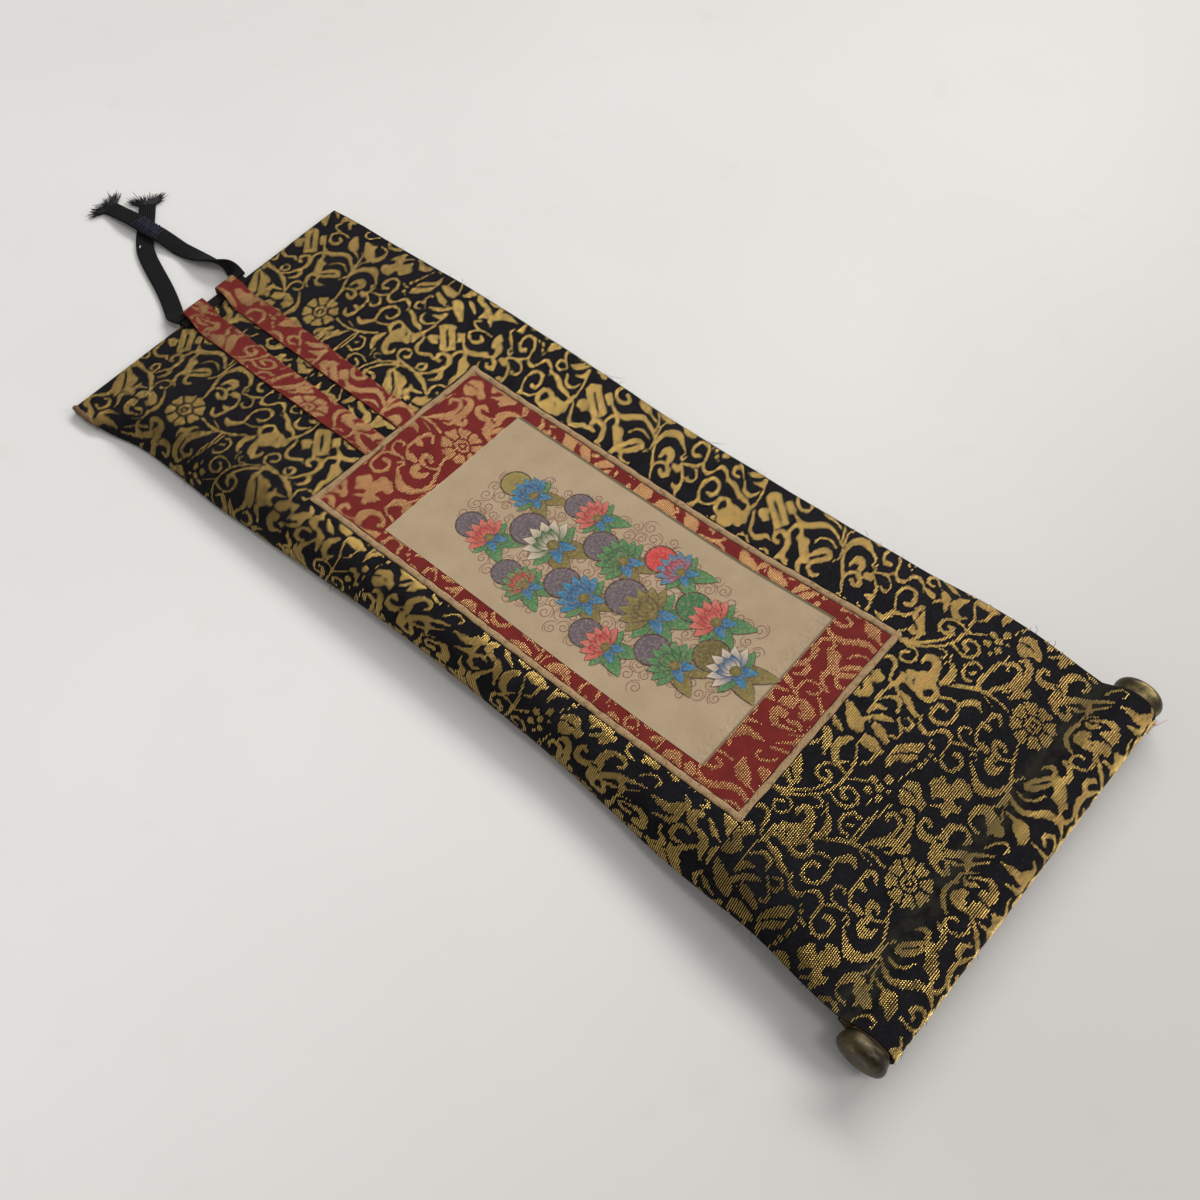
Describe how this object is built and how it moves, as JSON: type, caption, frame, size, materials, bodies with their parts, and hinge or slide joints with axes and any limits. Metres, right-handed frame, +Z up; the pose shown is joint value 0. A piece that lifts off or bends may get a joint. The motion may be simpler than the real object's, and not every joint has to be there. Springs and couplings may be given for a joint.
{
  "type": "buddhist hanging scroll",
  "caption": "Small hanging scroll lying face up: brocade mounting round a framed picture paper, ribbons, tape loop, dowel with brass end caps.",
  "frame": {"origin": "on the surface, under the middle of the scroll without its free tape", "axes": "+X across the scroll, +Y towards its top edge, +Z up out of its face"},
  "size_m": [0.1096, 0.336, 0.0144],
  "materials": {
    "brocade": "black figured brocade with gilt weft",
    "red_brocade": "red figured brocade with gilt weft",
    "edging": "tan backed strip, matt",
    "paper": "aged paper, matt",
    "tape": "black ribbed flat tape",
    "wood": "plain dowel",
    "brass": "tarnished thin sheet"
  },
  "bodies": {
    "root": {"top_panel": "brocade", "bottom_panel": "brocade", "side_strip_left": "brocade", "side_strip_right": "brocade", "band_top": "red_brocade", "band_bottom": "red_brocade", "band_left": "red_brocade", "band_right": "red_brocade", "edging_top": "edging", "edging_bottom": "edging", "edging_left": "edging", "edging_right": "edging", "picture_paper": "paper", "ribbon_left": "red_brocade", "ribbon_right": "red_brocade", "tape_held": "tape", "tape_leg_left": "tape", "tape_leg_right": "tape", "dowel": "wood", "cap_left": "brass", "cap_right": "brass"}
  },
  "joints": []
}
